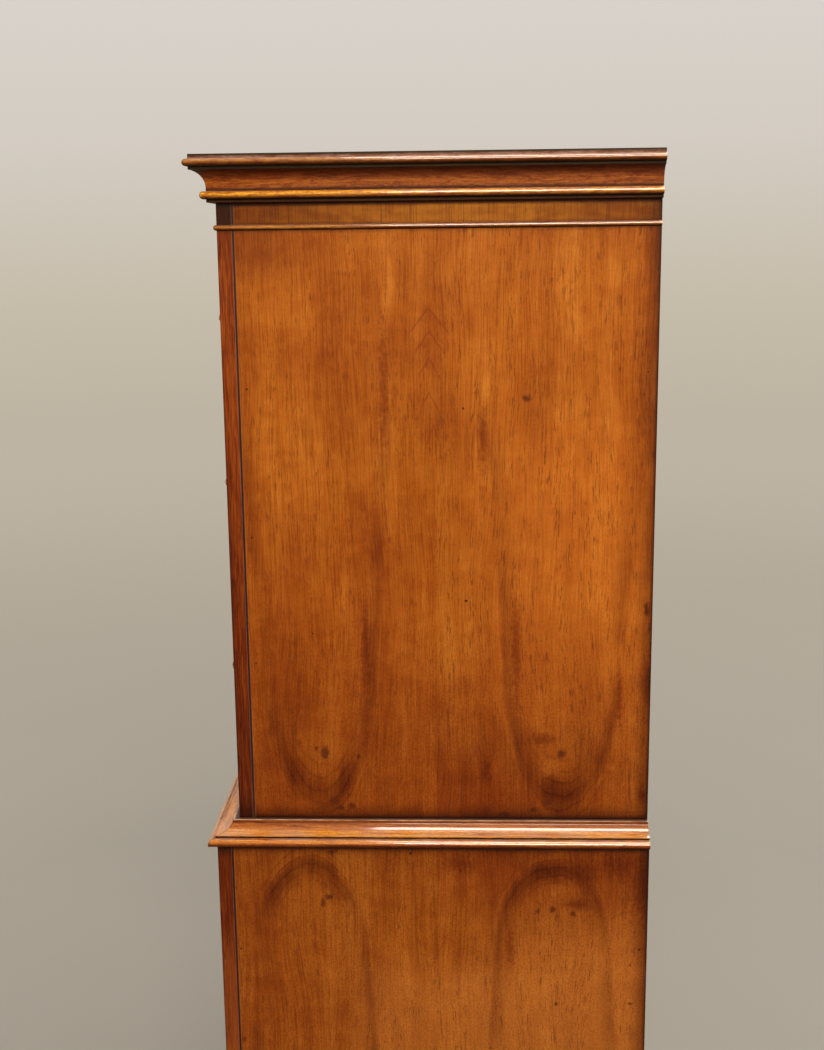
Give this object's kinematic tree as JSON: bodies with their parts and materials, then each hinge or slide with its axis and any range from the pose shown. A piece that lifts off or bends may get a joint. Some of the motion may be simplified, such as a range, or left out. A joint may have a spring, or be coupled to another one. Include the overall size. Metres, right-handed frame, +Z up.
{
  "type": "chest on chest",
  "caption": "Walnut chest on chest: a shallower upper case with a moulded cornice stands in the waist moulding of a deeper case on bracket feet; brass bail handles.",
  "frame": {"origin": "on the floor, under the middle of the whole piece's box, handles included", "axes": "+Z up; drawers open towards -Y; +X to the right of someone who faces the drawers"},
  "size_m": [0.778, 0.4774, 1.475],
  "materials": {
    "walnut_side": "book-matched walnut veneer, polished",
    "walnut_front": "figured walnut veneer with a herringbone band and solid cockbeads, polished",
    "walnut_moulding": "cross-grained walnut, polished",
    "walnut_rail": "solid walnut, polished",
    "dark_string": "black stained line",
    "oak_lining": "bare oak, aged",
    "pine": "bare pine, aged",
    "brass": "polished brass, darkened in its hollows",
    "iron": "dark iron screw"
  },
  "bodies": {
    "case": {"side_stringing": "dark_string", "back_screws": "iron", "lower_side_right": "walnut_side", "lower_side_left": "walnut_side", "lower_back": "pine", "lower_bottom_board": "pine", "lower_top_board": "pine", "lower_corner_stiles": "walnut_rail", "lower_front_rails": "walnut_rail", "lower_runners": "pine", "upper_side_right": "walnut_side", "upper_side_left": "walnut_side", "upper_back": "pine", "upper_bottom_board": "pine", "upper_top_board": "pine", "upper_corner_stiles": "walnut_rail", "upper_front_rails": "walnut_rail", "upper_runners": "pine", "upper_muntin": "walnut_rail", "cornice": "walnut_moulding", "upper_astragal": "walnut_moulding", "waist_moulding": "walnut_moulding", "plinth_moulding": "walnut_moulding", "foot_front_right": "walnut_moulding", "foot_front_left": "walnut_moulding", "foot_back_right": "walnut_moulding", "foot_back_left": "walnut_moulding"},
    "lower_bottom_drawer": {"lower_bottom_drawer_front": "walnut_front", "lower_bottom_drawer_box": "oak_lining", "lower_bottom_drawer_brass": "brass"},
    "lower_bottom_bail_left": {"lower_bottom_bail_left": "brass"},
    "lower_bottom_bail_right": {"lower_bottom_bail_right": "brass"},
    "lower_middle_drawer": {"lower_middle_drawer_front": "walnut_front", "lower_middle_drawer_box": "oak_lining", "lower_middle_drawer_brass": "brass"},
    "lower_middle_bail_left": {"lower_middle_bail_left": "brass"},
    "lower_middle_bail_right": {"lower_middle_bail_right": "brass"},
    "lower_top_drawer": {"lower_top_drawer_front": "walnut_front", "lower_top_drawer_box": "oak_lining", "lower_top_drawer_brass": "brass"},
    "lower_top_bail_left": {"lower_top_bail_left": "brass"},
    "lower_top_bail_right": {"lower_top_bail_right": "brass"},
    "upper_bottom_drawer": {"upper_bottom_drawer_front": "walnut_front", "upper_bottom_drawer_box": "oak_lining", "upper_bottom_drawer_brass": "brass"},
    "upper_bottom_bail_left": {"upper_bottom_bail_left": "brass"},
    "upper_bottom_bail_right": {"upper_bottom_bail_right": "brass"},
    "upper_middle_drawer": {"upper_middle_drawer_front": "walnut_front", "upper_middle_drawer_box": "oak_lining", "upper_middle_drawer_brass": "brass"},
    "upper_middle_bail_left": {"upper_middle_bail_left": "brass"},
    "upper_middle_bail_right": {"upper_middle_bail_right": "brass"},
    "upper_left_drawer": {"upper_left_drawer_front": "walnut_front", "upper_left_drawer_box": "oak_lining", "upper_left_drawer_brass": "brass"},
    "upper_left_bail": {"upper_left_bail": "brass"},
    "upper_right_drawer": {"upper_right_drawer_front": "walnut_front", "upper_right_drawer_box": "oak_lining", "upper_right_drawer_brass": "brass"},
    "upper_right_bail": {"upper_right_bail": "brass"}
  },
  "joints": [
    {"name": "lower_bottom_drawer_slide", "type": "slide", "parent": "case", "child": "lower_bottom_drawer", "axis": [0, -1, 0], "range_m": [0, 0.32]},
    {"name": "lower_bottom_bail_left_swing", "type": "hinge", "parent": "lower_bottom_drawer", "child": "lower_bottom_bail_left", "pos_m": [-0.1745, -0.23325, 0.2615], "axis": [-1, 0, 0], "range_deg": [-30, 150]},
    {"name": "lower_bottom_bail_right_swing", "type": "hinge", "parent": "lower_bottom_drawer", "child": "lower_bottom_bail_right", "pos_m": [0.1745, -0.23325, 0.2615], "axis": [-1, 0, 0], "range_deg": [-30, 150]},
    {"name": "lower_middle_drawer_slide", "type": "slide", "parent": "case", "child": "lower_middle_drawer", "axis": [0, -1, 0], "range_m": [0, 0.32]},
    {"name": "lower_middle_bail_left_swing", "type": "hinge", "parent": "lower_middle_drawer", "child": "lower_middle_bail_left", "pos_m": [-0.1745, -0.23325, 0.48], "axis": [-1, 0, 0], "range_deg": [-30, 150]},
    {"name": "lower_middle_bail_right_swing", "type": "hinge", "parent": "lower_middle_drawer", "child": "lower_middle_bail_right", "pos_m": [0.1745, -0.23325, 0.48], "axis": [-1, 0, 0], "range_deg": [-30, 150]},
    {"name": "lower_top_drawer_slide", "type": "slide", "parent": "case", "child": "lower_top_drawer", "axis": [0, -1, 0], "range_m": [0, 0.32]},
    {"name": "lower_top_bail_left_swing", "type": "hinge", "parent": "lower_top_drawer", "child": "lower_top_bail_left", "pos_m": [-0.1745, -0.23325, 0.6735], "axis": [-1, 0, 0], "range_deg": [-30, 150]},
    {"name": "lower_top_bail_right_swing", "type": "hinge", "parent": "lower_top_drawer", "child": "lower_top_bail_right", "pos_m": [0.1745, -0.23325, 0.6735], "axis": [-1, 0, 0], "range_deg": [-30, 150]},
    {"name": "upper_bottom_drawer_slide", "type": "slide", "parent": "case", "child": "upper_bottom_drawer", "axis": [0, -1, 0], "range_m": [0, 0.32]},
    {"name": "upper_bottom_bail_left_swing", "type": "hinge", "parent": "upper_bottom_drawer", "child": "upper_bottom_bail_left", "pos_m": [-0.1745, -0.21225, 0.917], "axis": [-1, 0, 0], "range_deg": [-30, 150]},
    {"name": "upper_bottom_bail_right_swing", "type": "hinge", "parent": "upper_bottom_drawer", "child": "upper_bottom_bail_right", "pos_m": [0.1745, -0.21225, 0.917], "axis": [-1, 0, 0], "range_deg": [-30, 150]},
    {"name": "upper_middle_drawer_slide", "type": "slide", "parent": "case", "child": "upper_middle_drawer", "axis": [0, -1, 0], "range_m": [0, 0.32]},
    {"name": "upper_middle_bail_left_swing", "type": "hinge", "parent": "upper_middle_drawer", "child": "upper_middle_bail_left", "pos_m": [-0.1745, -0.21225, 1.129], "axis": [-1, 0, 0], "range_deg": [-30, 150]},
    {"name": "upper_middle_bail_right_swing", "type": "hinge", "parent": "upper_middle_drawer", "child": "upper_middle_bail_right", "pos_m": [0.1745, -0.21225, 1.129], "axis": [-1, 0, 0], "range_deg": [-30, 150]},
    {"name": "upper_left_drawer_slide", "type": "slide", "parent": "case", "child": "upper_left_drawer", "axis": [0, -1, 0], "range_m": [0, 0.32]},
    {"name": "upper_left_bail_swing", "type": "hinge", "parent": "upper_left_drawer", "child": "upper_left_bail", "pos_m": [-0.1745, -0.21225, 1.31], "axis": [-1, 0, 0], "range_deg": [-30, 150]},
    {"name": "upper_right_drawer_slide", "type": "slide", "parent": "case", "child": "upper_right_drawer", "axis": [0, -1, 0], "range_m": [0, 0.32]},
    {"name": "upper_right_bail_swing", "type": "hinge", "parent": "upper_right_drawer", "child": "upper_right_bail", "pos_m": [0.1745, -0.21225, 1.31], "axis": [-1, 0, 0], "range_deg": [-30, 150]}
  ]
}
